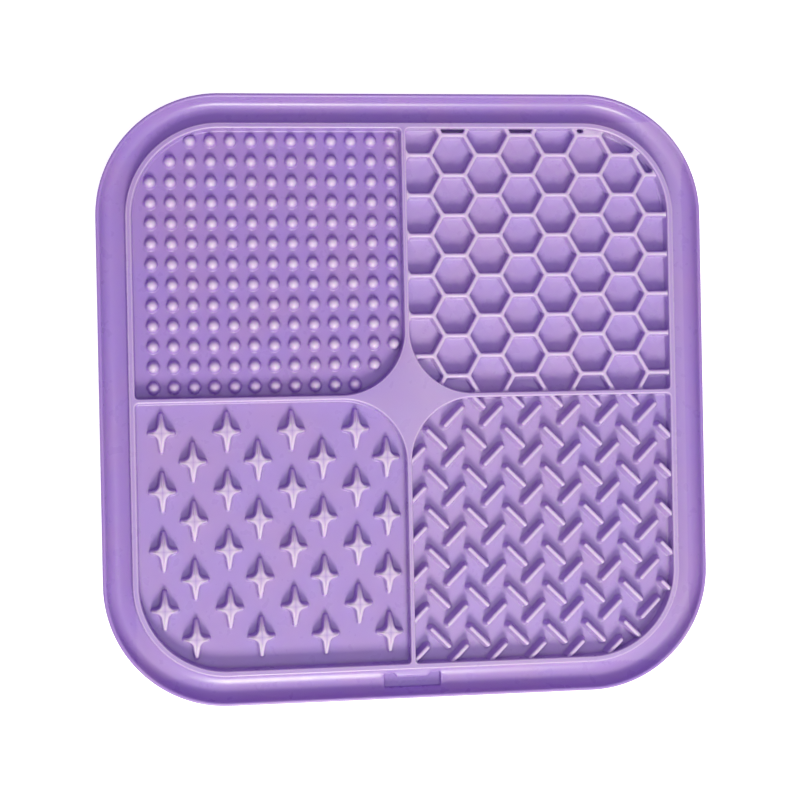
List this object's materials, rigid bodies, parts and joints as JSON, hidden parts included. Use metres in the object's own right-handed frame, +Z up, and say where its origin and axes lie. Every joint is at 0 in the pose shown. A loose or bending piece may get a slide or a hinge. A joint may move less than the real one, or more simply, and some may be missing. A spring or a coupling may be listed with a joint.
{
  "type": "lick mat",
  "caption": "Square silicone feeding mat with round corners, four textured pockets, a spill gutter and suction cups below.",
  "frame": {"origin": "middle of the mat's outline, in the plane of the suction cups' rims", "axes": "+Z up out of the pockets, +X to the right and +Y to the back, with the gutter's hook recess at the front on the -Y side"},
  "size_m": [0.2, 0.198, 0.01],
  "materials": {
    "lavender_silicone": "soft satin moulded silicone, pale lavender purple",
    "cup_silicone": "smooth moulded silicone, pale lavender purple, slightly glossier than the top"
  },
  "bodies": {
    "root": {"base_sheet": "lavender_silicone", "gutter_rim": "lavender_silicone", "pocket_wall": "lavender_silicone", "cross_divider": "lavender_silicone", "dot_field": "lavender_silicone", "honeycomb_net": "lavender_silicone", "star_field": "lavender_silicone", "bar_field": "lavender_silicone", "suction_cup_11": "cup_silicone", "suction_cup_12": "cup_silicone", "suction_cup_13": "cup_silicone", "suction_cup_14": "cup_silicone", "suction_cup_21": "cup_silicone", "suction_cup_22": "cup_silicone", "suction_cup_23": "cup_silicone", "suction_cup_24": "cup_silicone", "suction_cup_31": "cup_silicone", "suction_cup_32": "cup_silicone", "suction_cup_33": "cup_silicone", "suction_cup_34": "cup_silicone", "suction_cup_41": "cup_silicone", "suction_cup_42": "cup_silicone", "suction_cup_43": "cup_silicone", "suction_cup_44": "cup_silicone"}
  },
  "joints": []
}
